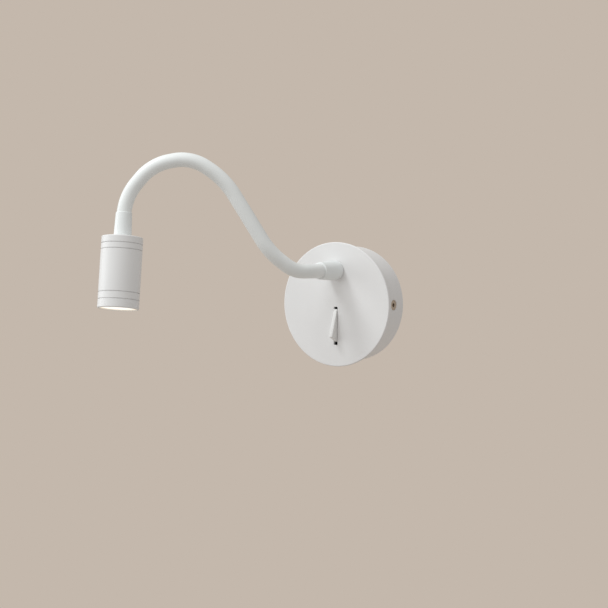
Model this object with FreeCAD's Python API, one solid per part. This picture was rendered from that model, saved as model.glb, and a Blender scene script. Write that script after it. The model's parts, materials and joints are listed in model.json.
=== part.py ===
import FreeCAD
import Part
import math
import os
from FreeCAD import Vector

# Bedside reading lamp: a round wall base with a bar rocker switch, a bendable
# sleeved arm and a small cylindrical LED head.
# Millimetres. X runs along the wall, +Y goes into the wall, Z is up. The origin
# is the centre of the base's back face, so everything stands at negative Y.

# ---- fits -------------------------------------------------------------------
thread_clearance = 0.05     # radial, screws and nipples in their threads
push_clearance = 0.05       # radial, a tube or spigot pushed into its bore
running_clearance = 0.06    # radial, a pin that turns in its hole
side_gap = 0.35             # free play beside moving pieces
seat_gap = 0.3              # loose pieces beside a cast wall

# ---- base -------------------------------------------------------------------
disc_radius = 50.0          # front disc
disc_thickness = 2.0
disc_lip = 2.4              # thickness of the disc's rim
drum_radius = 46.2          # drum behind the disc
drum_wall = 2.4
base_depth = 28.0
edge_radius = 0.8

# ---- wall bracket -----------------------------------------------------------
bracket_thickness = 1.6
plate_width = 64.0
plate_height = 46.0
plate_corner = 5.0
ear_height = 14.0
ear_length = 20.0
slot_spacing = 48.0
slot_length = 10.0
slot_width = 4.8
cable_hole_radius = 7.0
cable_hole_height = 11.0
earth_x = 21.0
earth_z = -15.0
earth_head_height = 2.4
earth_head_edge = 1.0
earth_slot_width = 1.0
earth_slot_depth = 1.2

# ---- side screws ------------------------------------------------------------
side_screw_depth = 14.0     # from the wall
side_head_radius = 4.0
side_shank_radius = 1.95
side_screw_length = 10.0
side_screw_recess = 0.3
side_socket_flats = 2.5
side_socket_depth = 1.6

# ---- arm --------------------------------------------------------------------
arm_height = 27.4           # arm exit above the base's centre
sleeve_radius = 5.7
sleeve_wall = 1.3
core_wall = 1.9             # wound steel core inside the sleeve
lead_radius = 1.7
pivot_gap = 0.3             # free space between two sections' round ends
sleeve_insert = 13.0        # how far the sleeve is pushed into a ferrule
bend_share = 0.45           # part of a run that its bends may use
arm_exit = Vector(0, -base_depth, arm_height)
arm_route = [arm_exit + step for step in (      # the arm's corners, from its exit
    Vector(0, 0, 0),
    Vector(0, -32, 0),
    Vector(-6, -51, 0.2),
    Vector(-18.7, -67, 15.6),
    Vector(-33, -76.5, 43.6),
    Vector(-47, -86.5, 71.6),
    Vector(-68.2, -101.5, 89.2),
    Vector(-93.2, -119, 83.5),
    Vector(-111.9, -129.5, 58.1),
    Vector(-110.7, -134.3, 27.1),
)]

# ---- ferrules ---------------------------------------------------------------
base_ferrule_length = 24.0
base_ferrule_foot = 7.9
base_ferrule_foot_edge = 1.4
base_ferrule_tip = 6.8
base_ferrule_straight = 8.0 # from the disc to where it narrows
ferrule_edge = 0.8
nipple_radius = 5.0
nipple_bore = 3.2
nipple_reach = 9.0          # threaded length inside the base or the head
nut_flats = 14.0
nut_thickness = 3.0
washer_radius = 8.0
washer_thickness = 0.6
head_ferrule_length = 19.3
head_ferrule_foot = 7.0
head_ferrule_tip = 6.35

# ---- head -------------------------------------------------------------------
head_radius = 16.2
head_wall = 2.0
head_length = 56.2
cap_length = 10.3
bezel_length = 12.5
spigot_length = 5.0
groove_width = 0.7
groove_depth = 0.6
cap_groove_at = 5.6
bezel_groove_at = 6.9       # from the bezel's front edge
cap_top_thickness = 3.0
web_thickness = 3.0         # wall across the housing that carries the LED board
web_at = 33.0
board_radius = 12.6
board_thickness = 1.6
pad_thickness = 0.5
chip_radius = 5.5
chip_thickness = 0.9
board_screw_offset = 10.2
board_screw_radius = 1.0
board_screw_head = 1.9
board_screw_height = 1.2
board_screw_flats = 1.3
board_screw_socket = 0.7
lens_radius = 14.7
lens_thickness = 3.0
lens_edge = 0.5
lens_flange = 0.45
lens_flange_thickness = 1.0
lens_recess = 0.6
bezel_lip_edge = 0.3
reflector_wall = 0.9
reflector_low_margin = 0.8  # round the chip
reflector_high_margin = 1.0 # inside the lens
reflector_rim = 1.2         # height of its straight rim
stack_gap = 0.05            # between pieces stacked along the head
grommet_radius = 3.0
grommet_flange = 1.2
grommet_flange_height = 1.5
grommet_short = 0.3         # it stops before the web's front

# ---- rocker switch ----------------------------------------------------------
rocker_height = -17.3       # pivot below the base's centre
rocker_pivot_depth = 3.4    # pivot behind the disc's front face
rocker_tilt = 18.7          # either side of the middle
rocker_width = 2.9
rocker_stand = 4.3          # front face before the disc, at mid-travel
rocker_front_half = 11.65
rocker_root_half = 13.05
rocker_root_depth = 2.0     # behind the pivot
rocker_edge = 0.4
rocker_boss_root = 4.0      # half height of the boss behind the paddle
rocker_boss_end = 2.2
rocker_boss_edge = 1.0
rocker_boss_short = 1.6     # the boss ends this far before the plunger's tip
axle_radius = 1.0
axle_reach = 1.7            # beyond the paddle's side
axle_end_gap = 0.2
switch_slot_height = 30.7
switch_slot_width = 3.5
switch_slot_corner = 0.6
switch_width = 12.0
switch_height = 36.0
switch_depth = 13.0
switch_corner = 1.0
switch_floor = 1.5          # behind the contact chamber
switch_cheek_cavity = 8.2   # depth of the open front pocket
chamber_front = 1.6         # room before the blade
chamber_end = 1.5           # room above and below the blade
plunger_radius = 0.75
plunger_length = 3.2
plunger_tip = 6.0           # tip behind the pivot
spring_wall = 0.2
spring_length = 3.0
spring_back = 1.4           # its rear end behind the pivot
seesaw_length = 10.0
seesaw_width = 2.6
seesaw_thickness = 0.5
seesaw_tilt = 6.0
seesaw_dish = 8.0           # each arm rises by this angle from the middle
seesaw_rib_radius = 0.3
seesaw_gap = 0.12           # plunger to blade at mid-travel, and blade to fulcrum
contact_offset = 4.3        # fixed contact below the fulcrum
contact_pad_radius = 0.8
contact_pad_height = 0.6
terminal_width = 4.8
terminal_thickness = 0.8
terminal_length = 7.0

# ---- driver and wiring ------------------------------------------------------
driver_left = -33.5
driver_right = -10.5
driver_half_height = 20.0
driver_depth = 17.5
driver_wall = 1.2
driver_corner = 1.5
driver_pad = 1.0
driver_pad_margin = 3.5
driver_pad_corner = 2.0
board_height = 1.2
transformer_width = 12.0
transformer_length = 14.0
transformer_height = 9.0
capacitor_radius = 4.0
capacitor_height = 10.5
capacitor_at = 0.7          # share of the board's half length
choke_radius = 3.2
choke_height = 7.0
choke_at = 0.65
choke_shift = 4.0
lead_from_left = 13.5       # where the lead leaves the driver
lead_from_lid = 5.5
lead_rise = 12.5            # its first bend above the driver
lead_sway = 1.0
lead_level_at = 8.5         # where it turns into the arm, before the wall
block_left = 12.0
block_right = 34.0
block_bottom = 6.5
block_height = 14.0
block_depth = 12.0
block_poles = 3
block_corner = 0.8
block_notch_width = 0.8
block_notch_depth = 3.0
block_screw_radius = 1.9
block_screw_length = 3.2
block_screw_sunk = 1.0
block_screw_slot = 0.6
block_screw_slot_depth = 0.8
block_wire_radius = 1.7

out_of_wall = Vector(0, -1, 0)
across = Vector(1, 0, 0)
up = Vector(0, 0, 1)
front_y = -base_depth
inner_y = front_y + disc_thickness
inner_radius = drum_radius - drum_wall


def save(name, shape):
    shape.exportStep("parts/" + name + ".step")
    print(name, len(shape.Solids), round(shape.Volume, 1))


def block(low_x, high_x, low_y, high_y, low_z, high_z):
    return Part.makeBox(high_x - low_x, high_y - low_y, high_z - low_z,
                        Vector(low_x, low_y, low_z))


def rod(radius, start, direction, length):
    return Part.makeCylinder(radius, length, start, direction)


def cone(first, last, start, direction, length):
    return Part.makeCone(first, last, length, start, direction)


def outline(corners, place):
    """A closed face; a corner is (u, v) or (u, v, rounding), and place puts it in space."""
    edges = []
    ends = []
    count = len(corners)
    for i, corner in enumerate(corners):
        before = corners[i - 1]
        after = corners[(i + 1) % count]
        point = Vector(corner[0], corner[1], 0)
        if len(corner) == 2:
            ends.append((point, point, None))
            continue
        back = (Vector(before[0], before[1], 0) - point).normalize()
        ahead = (Vector(after[0], after[1], 0) - point).normalize()
        half = back.getAngle(ahead) / 2
        reach = corner[2] / math.tan(half)
        middle = (back + ahead).normalize() * (corner[2] / math.sin(half) - corner[2])
        ends.append((point + back * reach, point + ahead * reach, point + middle))
    for i, (first, last, middle) in enumerate(ends):
        if middle is not None:
            edges.append(Part.Arc(place(first), place(middle), place(last)).toShape())
        following = ends[(i + 1) % count][0]
        if (following - last).Length > 1e-6:
            edges.append(Part.makeLine(place(last), place(following)))
    return Part.Face(Part.Wire(edges))


def turned(corners, start, direction):
    """Solid of revolution; each corner is (radius, distance along direction from start)."""
    side = direction.cross(up)
    if side.Length < 0.5:
        side = direction.cross(across)
    side.normalize()

    def place(point):
        return start + side * point.x + direction * point.y

    return outline(corners, place).revolve(start, direction, 360)


def raised(corners, place, direction, length):
    return outline(corners, place).extrude(direction * length)


def hexagon(flats, start, direction, length):
    side = direction.cross(across)
    if side.Length < 0.5:
        side = direction.cross(up)
    side.normalize()
    other = direction.cross(side)
    reach = flats / math.sqrt(3)
    points = []
    for i in range(7):
        turn = math.radians(60 * i)
        points.append(start + side * (reach * math.cos(turn)) + other * (reach * math.sin(turn)))
    return Part.Face(Part.makePolygon(points)).extrude(direction * length)


def rounded_box(low_x, high_x, low_y, high_y, low_z, high_z, radius):
    """Box with its four edges along Y rounded."""
    corners = [(low_x, low_z, radius), (high_x, low_z, radius),
               (high_x, high_z, radius), (low_x, high_z, radius)]
    return raised(corners, lambda p: Vector(p.x, low_y, p.y), Vector(0, 1, 0), high_y - low_y)


# ---- base housing -----------------------------------------------------------

def side_screw_start(side):
    return Vector(side * (drum_radius - side_screw_recess), -side_screw_depth, 0)


def countersink(side, extra):
    """The screw head's form, grown by extra, from outside the drum inwards."""
    start = side_screw_start(side)
    inwards = Vector(-side, 0, 0)
    radius = side_head_radius + extra
    head = cone(radius, side_shank_radius + extra, start, inwards,
                side_head_radius - side_shank_radius)
    return head.fuse(rod(radius, start, -inwards, 2 * side_screw_recess + 1))


def base_housing():
    shell = turned([(0, base_depth), (disc_radius, base_depth, edge_radius),
                    (disc_radius, base_depth - disc_lip, edge_radius),
                    (drum_radius, base_depth - disc_lip, edge_radius / 2),
                    (drum_radius, 0), (inner_radius, 0),
                    (inner_radius, base_depth - disc_thickness, edge_radius),
                    (0, base_depth - disc_thickness)],
                   Vector(0, 0, 0), out_of_wall)
    slot = rounded_box(-switch_slot_width / 2, switch_slot_width / 2, front_y - 1, inner_y + 1,
                       rocker_height - switch_slot_height / 2,
                       rocker_height + switch_slot_height / 2, switch_slot_corner)
    nipple_hole = rod(nipple_radius + thread_clearance, Vector(0, front_y - 1, arm_height),
                      -out_of_wall, disc_thickness + 2)
    shell = shell.cut(slot).cut(nipple_hole)
    for side in (-1, 1):
        start = side_screw_start(side)
        through = rod(side_shank_radius + push_clearance, start, Vector(-side, 0, 0), 2 * drum_wall)
        shell = shell.cut(countersink(side, push_clearance)).cut(through)
    return shell


def side_screws():
    screws = []
    for side in (-1, 1):
        start = side_screw_start(side)
        inwards = Vector(-side, 0, 0)
        head_height = side_head_radius - side_shank_radius
        screw = cone(side_head_radius, side_shank_radius, start, inwards, head_height)
        screw = screw.fuse(rod(side_shank_radius, start + inwards * head_height, inwards,
                               side_screw_length - head_height))
        screw = screw.cut(hexagon(side_socket_flats, start, inwards, side_socket_depth))
        screws.append(screw)
    return Part.makeCompound(screws)


# ---- wall bracket -----------------------------------------------------------

ear_x = math.sqrt(inner_radius ** 2 - (ear_height / 2) ** 2) - seat_gap


def wall_bracket():
    bend = 2 * bracket_thickness
    corners = [(-ear_x, 0, bend), (ear_x, 0, bend), (ear_x, -ear_length),
               (ear_x - bracket_thickness, -ear_length),
               (ear_x - bracket_thickness, -bracket_thickness, bend - bracket_thickness),
               (bracket_thickness - ear_x, -bracket_thickness, bend - bracket_thickness),
               (bracket_thickness - ear_x, -ear_length), (-ear_x, -ear_length)]
    strap = raised(corners, lambda p: Vector(p.x, p.y, -ear_height / 2), up, ear_height)
    plate = rounded_box(-plate_width / 2, plate_width / 2, -bracket_thickness, 0,
                        -plate_height / 2, plate_height / 2, plate_corner)
    bracket = strap.fuse(plate).removeSplitter()
    for side in (-1, 1):
        centre = side * slot_spacing / 2
        slot = rounded_box(centre - slot_length / 2, centre + slot_length / 2,
                           -bracket_thickness - 1, 1, -slot_width / 2, slot_width / 2,
                           slot_width / 2 - 0.001)
        thread = rod(side_shank_radius + thread_clearance,
                     Vector(side * (ear_x + 1), -side_screw_depth, 0), Vector(-side, 0, 0),
                     bracket_thickness + 2)
        bracket = bracket.cut(slot).cut(thread)
    cable_hole = rod(cable_hole_radius, Vector(0, 1, cable_hole_height), out_of_wall,
                     bracket_thickness + 2)
    earth_hole = rod(side_shank_radius + thread_clearance, Vector(earth_x, 1, earth_z),
                     out_of_wall, bracket_thickness + 2)
    return bracket.cut(cable_hole).cut(earth_hole)


def earth_screw():
    seat = Vector(earth_x, -bracket_thickness, earth_z)
    head = turned([(0, 0), (side_head_radius, 0),
                   (side_head_radius, earth_head_height, earth_head_edge), (0, earth_head_height)],
                  seat, out_of_wall)
    shank = rod(side_shank_radius, seat, -out_of_wall, bracket_thickness)
    half = earth_slot_width / 2
    bottom = seat.y - earth_head_height + earth_slot_depth
    driver_slot = block(earth_x - half, earth_x + half, bottom - earth_head_height, bottom,
                        earth_z - side_head_radius, earth_z + side_head_radius)
    return head.fuse(shank).cut(driver_slot)


# ---- terminal block ---------------------------------------------------------

block_pitch = (block_right - block_left) / block_poles


def pole_x(i):
    return block_left + block_pitch * (i + 0.5)


def terminal_block():
    back = -bracket_thickness
    body = rounded_box(block_left, block_right, back - block_depth, back,
                       block_bottom, block_bottom + block_height, block_corner)
    middle = block_bottom + block_height / 2
    for i in range(block_poles):
        wire_hole = rod(block_wire_radius, Vector(pole_x(i), back - block_depth / 2, block_bottom - 1),
                        up, block_height + 2)
        screw_hole = rod(block_screw_radius + thread_clearance,
                         Vector(pole_x(i), back - block_depth - 1, middle), -out_of_wall,
                         block_depth / 2 + 1)
        body = body.cut(wire_hole).cut(screw_hole)
    for i in range(1, block_poles):
        edge = block_left + block_pitch * i
        half = block_notch_width / 2
        front = back - block_depth
        body = body.cut(block(edge - half, edge + half, front - 1, front + block_notch_depth,
                              block_bottom - 1, block_bottom + block_height + 1))
    return body


def terminal_screws():
    screws = []
    for i in range(block_poles):
        start = Vector(pole_x(i), -bracket_thickness - block_depth + block_screw_sunk,
                       block_bottom + block_height / 2)
        screw = rod(block_screw_radius, start, -out_of_wall, block_screw_length)
        half = block_screw_slot / 2
        reach = block_screw_radius + 1
        screw = screw.cut(block(start.x - half, start.x + half, start.y - 1,
                                start.y + block_screw_slot_depth, start.z - reach, start.z + reach))
        screws.append(screw)
    return Part.makeCompound(screws)


# ---- driver -----------------------------------------------------------------

driver_front = inner_y + driver_pad
driver_back = driver_front + driver_depth


def driver_pad_piece():
    half = driver_half_height - driver_pad_margin
    return rounded_box(driver_left + driver_pad_margin, driver_right - driver_pad_margin,
                       inner_y, driver_front, -half, half, driver_pad_corner)


def driver_case():
    outer = rounded_box(driver_left, driver_right, driver_front, driver_back - driver_wall,
                        -driver_half_height, driver_half_height, driver_corner)
    inner = block(driver_left + driver_wall, driver_right - driver_wall,
                  driver_front + driver_wall, driver_back,
                  driver_wall - driver_half_height, driver_half_height - driver_wall)
    case = outer.cut(inner)
    return case.cut(rod(lead_radius + side_gap, driver_lead_entry() + up, -up, 2 * driver_wall + 1))


def driver_lid():
    return rounded_box(driver_left, driver_right, driver_back - driver_wall, driver_back,
                       -driver_half_height, driver_half_height, driver_corner)


def driver_board():
    left = driver_left + driver_wall + seat_gap
    right = driver_right - driver_wall - seat_gap
    half = driver_half_height - driver_wall - seat_gap
    floor = driver_front + driver_wall
    board = block(left, right, floor, floor + board_height, -half, half)
    top = floor + board_height
    middle = (left + right) / 2
    transformer = block(middle - transformer_width / 2, middle + transformer_width / 2,
                        top, top + transformer_height,
                        -transformer_length / 2, transformer_length / 2)
    capacitor = rod(capacitor_radius, Vector(middle, top, -half * capacitor_at), -out_of_wall,
                    capacitor_height)
    choke = rod(choke_radius, Vector(middle + choke_shift, top, half * choke_at), -out_of_wall,
                choke_height)
    return board.fuse(transformer).fuse(capacitor).fuse(choke)


def driver_lead_entry():
    return Vector(driver_left + lead_from_left, driver_back - lead_from_lid, driver_half_height)


# ---- arm --------------------------------------------------------------------

core_radius = sleeve_radius - sleeve_wall - push_clearance
core_bore = core_radius - core_wall


def middle_of(first, last):
    return (first + last) * 0.5


arm_pivots = [middle_of(arm_route[i], arm_route[i + 1]) for i in range(1, len(arm_route) - 2)]
head_top = arm_route[-1]
head_aim = (arm_route[-1] - arm_route[-2]).normalize()


def ring(outer, inner, centre, direction):
    face = Part.Face(Part.Wire(Part.makeCircle(outer, centre, direction)))
    if inner > 0:
        face = face.cut(Part.Face(Part.Wire(Part.makeCircle(inner, centre, direction)))).Faces[0]
    return face


def bend_data(start, corner, end, reach):
    """Where a tangent arc leaves one run and joins the next, with its centre and turn."""
    first = (corner - start).normalize()
    last = (end - corner).normalize()
    turn = first.getAngle(last)
    radius = reach / math.tan(turn / 2)
    begins = corner - first * reach
    middle = (last - first).normalize()
    centre = corner + middle * (radius / math.cos(turn / 2))
    return first, last, turn, radius, begins, corner + last * reach, centre


def bent_tube(outer, inner, points, reaches):
    """Straight runs joined by tangent arcs."""
    pieces = []
    place = points[0]
    for i in range(1, len(points) - 1):
        bend = bend_data(points[i - 1], points[i], points[i + 1], reaches[i - 1])
        first, last, turn, radius, begins, finishes, centre = bend
        if (begins - place).Length > 0.01:
            pieces.append(ring(outer, inner, place, first).extrude(begins - place))
        hinge = first.cross(last).normalize()
        pieces.append(ring(outer, inner, begins, first).revolve(centre, hinge, math.degrees(turn)))
        place = finishes
    final = (points[-1] - points[-2]).normalize()
    pieces.append(ring(outer, inner, place, final).extrude(points[-1] - place))
    tube = pieces[0]
    for piece in pieces[1:]:
        tube = tube.fuse(piece)
    return tube


def round_end(outer, inner, pivot, direction):
    """What a section has beyond its pivot, inside a ball of the sleeve's radius."""
    far = math.sqrt(sleeve_radius ** 2 - inner ** 2)
    near = math.sqrt(sleeve_radius ** 2 - outer ** 2)
    side = direction.cross(up).normalize()

    def place(radius, distance):
        return pivot + side * radius + direction * distance

    spread = (math.atan2(near, outer) + math.atan2(far, inner)) / 2
    middle = place(sleeve_radius * math.cos(spread), sleeve_radius * math.sin(spread))
    edges = [Part.makeLine(place(inner, 0), place(outer, 0))]
    if near > 0.01:
        edges.append(Part.makeLine(place(outer, 0), place(outer, near)))
    edges.append(Part.Arc(place(outer, near), middle, place(inner, far)).toShape())
    edges.append(Part.makeLine(place(inner, far), place(inner, 0)))
    return Part.Face(Part.Wire(edges)).revolve(pivot, direction, 360)


def route_reach(i):
    """How much of its two runs the bend at route point i uses."""
    before = (arm_route[i] - arm_route[i - 1]).Length
    after = (arm_route[i + 1] - arm_route[i]).Length
    return bend_share * min(before, after)


def arm_section(k, outer, inner, first_points=None, last_point=None):
    """Section k bends round route point k + 1, between the pivots on either side of it."""
    corner = arm_route[k + 1]
    reaches = [route_reach(k + 1)]
    points = [corner]
    if k == 0:
        points = list(first_points) + points
        reaches = [lead_bend_reach(first_points, i) for i in range(1, len(first_points))] + reaches
    else:
        points = [arm_pivots[k - 1]] + points
    points.append(last_point if last_point else arm_pivots[k])
    tube = bent_tube(outer, inner, points, reaches)
    if k > 0:
        tube = tube.cut(Part.makeSphere(sleeve_radius + pivot_gap, arm_pivots[k - 1]))
    if not last_point:
        direction = (arm_pivots[k] - corner).normalize()
        tube = tube.fuse(round_end(outer, inner, arm_pivots[k], direction))
    return tube.removeSplitter()


def lead_bend_reach(points, i):
    following = points[i + 1] if i + 1 < len(points) else arm_route[1]
    before = (points[i] - points[i - 1]).Length
    after = (following - points[i]).Length
    return bend_share * min(before, after)


sleeve_foot = Vector(0, front_y - base_ferrule_length + sleeve_insert, arm_height)
sleeve_top = head_top - head_aim * (head_ferrule_length - sleeve_insert)
lead_entry = driver_lead_entry()
lead_start = [lead_entry - up * driver_wall, lead_entry + Vector(lead_sway, 0, lead_rise),
              Vector(0, -lead_level_at, arm_height)]


def base_ferrule():
    """Turned bush with a threaded nipple through the disc."""
    mouth = sleeve_radius + push_clearance
    length = base_ferrule_length
    return turned([(nipple_bore, -disc_thickness - nipple_reach),
                   (nipple_radius, -disc_thickness - nipple_reach),
                   (nipple_radius, 0), (base_ferrule_foot, 0, base_ferrule_foot_edge),
                   (base_ferrule_foot, base_ferrule_straight),
                   (base_ferrule_tip, length, ferrule_edge / 2),
                   (mouth, length), (mouth, length - sleeve_insert),
                   (nipple_bore, length - sleeve_insert)],
                  Vector(0, front_y, arm_height), out_of_wall)


def lock_washer(start, direction):
    disc = rod(washer_radius, start, direction, washer_thickness)
    return disc.cut(rod(nipple_radius + thread_clearance, start, direction, washer_thickness))


def nipple_nut(start, direction):
    nut = hexagon(nut_flats, start, direction, nut_thickness)
    corner_cut = cone(nut_flats / 2 + nut_thickness, nut_flats / 2 * 0.98, start, direction,
                      nut_thickness)
    return nut.common(corner_cut).cut(rod(nipple_radius + thread_clearance, start, direction,
                                          nut_thickness))


# ---- head -------------------------------------------------------------------

def head_ferrule():
    mouth = sleeve_radius + push_clearance
    length = head_ferrule_length
    return turned([(nipple_bore, cap_top_thickness + nipple_reach),
                   (nipple_bore, sleeve_insert - length), (mouth, sleeve_insert - length),
                   (mouth, -length), (head_ferrule_tip, -length, ferrule_edge / 2),
                   (head_ferrule_foot, 0), (nipple_radius, 0),
                   (nipple_radius, cap_top_thickness + nipple_reach)],
                  head_top, head_aim)


def at_head(distance):
    return head_top + head_aim * distance


def groove(distance):
    """A narrow turned groove round the head."""
    outer = rod(head_radius + 1, at_head(distance - groove_width / 2), head_aim, groove_width)
    return outer.cut(rod(head_radius - groove_depth, at_head(distance - groove_width / 2),
                         head_aim, groove_width))


housing_bore = head_radius - head_wall
bezel_start = head_length - bezel_length
seam = groove_width / 2


def head_cap():
    spigot = housing_bore - push_clearance
    hole = nipple_radius + thread_clearance
    cap = turned([(hole, 0), (head_radius, 0, edge_radius), (head_radius, cap_length - seam),
                  (head_radius - groove_depth, cap_length - seam),
                  (head_radius - groove_depth, cap_length), (spigot, cap_length),
                  (spigot, cap_length + spigot_length),
                  (spigot - head_wall / 2, cap_length + spigot_length),
                  (spigot - head_wall / 2, cap_top_thickness),
                  (hole, cap_top_thickness)], head_top, head_aim)
    return cap.cut(groove(cap_groove_at))


def head_housing():
    body = turned([(housing_bore, cap_length), (head_radius - groove_depth, cap_length),
                   (head_radius - groove_depth, cap_length + seam),
                   (head_radius, cap_length + seam), (head_radius, bezel_start - seam),
                   (head_radius - groove_depth, bezel_start - seam),
                   (head_radius - groove_depth, bezel_start),
                   (head_radius - head_wall / 2, bezel_start),
                   (head_radius - head_wall / 2, bezel_start + spigot_length),
                   (housing_bore, bezel_start + spigot_length),
                   (housing_bore, web_at + web_thickness), (grommet_radius, web_at + web_thickness),
                   (grommet_radius, web_at), (housing_bore, web_at)], head_top, head_aim)
    for offset in board_screw_offsets():
        body = body.cut(rod(board_screw_radius + thread_clearance, at_head(web_at - 1) + offset,
                            head_aim, web_thickness + 2))
    return body


head_side = head_aim.cross(Vector(0, 1, 0)).normalize()


def board_screw_offsets():
    return [head_side * board_screw_offset, head_side * -board_screw_offset]


def board_hole_tools(start, length):
    tools = [rod(board_screw_radius + thread_clearance, at_head(start) + offset, head_aim, length)
             for offset in board_screw_offsets()]
    lead_hole = rod(lead_radius + side_gap, at_head(start), head_aim, length)
    return tools, lead_hole


pad_at = web_at + web_thickness
board_at = pad_at + pad_thickness
chip_at = board_at + board_thickness
lens_face = head_length - lens_recess
lens_back = lens_face - lens_thickness


def thermal_pad():
    pad = rod(board_radius, at_head(pad_at), head_aim, pad_thickness)
    tools, lead_hole = board_hole_tools(pad_at, pad_thickness)
    return pad.cut(Part.makeCompound(tools)).cut(lead_hole)


def led_board():
    board = rod(board_radius, at_head(board_at), head_aim, board_thickness)
    tools, lead_hole = board_hole_tools(board_at, board_thickness)
    return board.cut(Part.makeCompound(tools))


def led_chip():
    return rod(chip_radius, at_head(chip_at), head_aim, chip_thickness)


def board_screws():
    screws = []
    for offset in board_screw_offsets():
        head = rod(board_screw_head, at_head(chip_at) + offset, head_aim, board_screw_height)
        shank = rod(board_screw_radius, at_head(web_at) + offset, head_aim, chip_at - web_at)
        bottom = chip_at + board_screw_height - board_screw_socket
        recess = hexagon(board_screw_flats, at_head(bottom) + offset, head_aim, board_screw_height)
        screws.append(head.fuse(shank).cut(recess))
    return Part.makeCompound(screws)


def reflector():
    """Cone that guides the light from the chip to the lens."""
    low = chip_radius + reflector_low_margin
    high = lens_radius - reflector_high_margin
    bottom = chip_at + stack_gap
    top = lens_back - stack_gap
    foot = top - reflector_rim
    return turned([(low, bottom), (low + reflector_wall, bottom), (high, foot),
                   (lens_radius, foot), (lens_radius, top), (high, top)],
                  head_top, head_aim)


def lens():
    flange = lens_radius + lens_flange
    return turned([(0, lens_back), (flange, lens_back), (flange, lens_back + lens_flange_thickness),
                   (lens_radius, lens_back + lens_flange_thickness), (lens_radius, lens_face, lens_edge),
                   (0, lens_face)], head_top, head_aim)


def front_bezel():
    """Ring screwed over the housing's spigot; its lip holds the lens."""
    thread = head_radius - head_wall / 2 + thread_clearance
    lip = lens_radius + push_clearance
    lip_at = lens_back + lens_flange_thickness + push_clearance
    ring_body = turned([(thread, bezel_start), (head_radius - groove_depth, bezel_start),
                        (head_radius - groove_depth, bezel_start + seam),
                        (head_radius, bezel_start + seam), (head_radius, head_length, edge_radius),
                        (lip, head_length, bezel_lip_edge), (lip, lip_at), (thread, lip_at)],
                       head_top, head_aim)
    return ring_body.cut(groove(head_length - bezel_groove_at))


def lead_grommet():
    """Rubber bush where the lead passes the web."""
    seat = web_at - stack_gap
    start = seat - grommet_flange_height
    end = web_at + web_thickness - grommet_short
    wide = grommet_radius + grommet_flange
    neck = grommet_radius - push_clearance
    hole = lead_radius + push_clearance
    return turned([(hole, start), (wide, start), (wide, seat), (neck, seat), (neck, end),
                   (hole, end)], head_top, head_aim)


# ---- rocker switch ----------------------------------------------------------

rocker_pivot = Vector(0, front_y + rocker_pivot_depth, rocker_height)


def tilted(shape, centre, degrees):
    turned_shape = shape.copy()
    turned_shape.rotate(centre, across, degrees)
    return turned_shape


def at_pivot(pivot):
    """Places (outwards, upwards) from a pivot, at the paddle's middle plane."""
    return lambda p: pivot + Vector(0, -p.x, p.y)


def rocker_paddle():
    face = rocker_pivot_depth + rocker_stand
    boss = rocker_boss_short - plunger_tip
    corners = [(face, rocker_front_half, rocker_edge), (face, -rocker_front_half, rocker_edge),
               (-rocker_root_depth, -rocker_root_half, rocker_edge),
               (-rocker_root_depth, -rocker_boss_root, rocker_boss_edge),
               (boss, -rocker_boss_end, rocker_edge), (boss, rocker_boss_end, rocker_edge),
               (-rocker_root_depth, rocker_boss_root, rocker_boss_edge),
               (-rocker_root_depth, rocker_root_half, rocker_edge)]
    paddle = raised(corners, at_pivot(rocker_pivot), across, rocker_width)
    paddle.translate(Vector(-rocker_width / 2, 0, 0))
    paddle = paddle.makeFillet(rocker_edge / 2, long_side_edges(paddle, face))
    reach = rocker_width / 2 + axle_reach
    paddle = paddle.fuse(rod(axle_radius, rocker_pivot - across * reach, across, 2 * reach))
    inside = plunger_radius + spring_wall + 2 * running_clearance
    pocket = rod(inside, rocker_pivot - out_of_wall * plunger_tip, out_of_wall,
                 plunger_tip + spring_length - spring_back)
    return tilted(paddle.cut(pocket), rocker_pivot, -rocker_tilt)


def long_side_edges(paddle, face):
    """The front face's two long edges, before the paddle is tilted."""
    front = rocker_pivot.y - face
    return [edge for edge in paddle.Edges
            if edge.BoundBox.YMax < front + 0.01 and edge.BoundBox.ZLength > 2 * rocker_width]


def plunger_piece():
    """Pin with a ball nose that presses on the contact blade."""
    nose = rocker_pivot - out_of_wall * (plunger_tip - plunger_radius)
    pin = rod(plunger_radius, nose, out_of_wall, plunger_length)
    pin = pin.fuse(Part.makeSphere(plunger_radius, nose)).removeSplitter()
    return tilted(pin, rocker_pivot, -rocker_tilt)


def switch_spring():
    inner = plunger_radius + running_clearance
    start = rocker_pivot - out_of_wall * spring_back
    coil = rod(inner + spring_wall, start, out_of_wall, spring_length)
    return tilted(coil.cut(rod(inner, start, out_of_wall, spring_length)), rocker_pivot, -rocker_tilt)


seesaw_pivot = rocker_pivot - out_of_wall * (plunger_tip + seesaw_gap + seesaw_thickness / 2)


seesaw_slope = math.tan(math.radians(seesaw_dish))


def contact_seesaw():
    """Shallow V of sprung brass that tips under the plunger."""
    rise = seesaw_slope * seesaw_length / 2
    half = seesaw_thickness / 2
    end = seesaw_length / 2
    corners = [(half, 0), (half + rise, end), (rise - half, end), (-half, 0),
               (rise - half, -end), (half + rise, -end)]
    blade = raised(corners, at_pivot(seesaw_pivot), across, seesaw_width)
    blade.translate(Vector(-seesaw_width / 2, 0, 0))
    for side in (-1, 1):
        foot = Vector(0, -contact_offset * seesaw_slope, side * contact_offset)
        blade = blade.fuse(rod(contact_pad_radius, seesaw_pivot + foot, -out_of_wall,
                               half + contact_pad_height))
    rib_end = seesaw_pivot - across * (seesaw_width / 2) - out_of_wall * (seesaw_rib_radius / 2)
    rib = rod(seesaw_rib_radius, rib_end, across, seesaw_width)
    return tilted(blade.fuse(rib), seesaw_pivot, seesaw_tilt)


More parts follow.
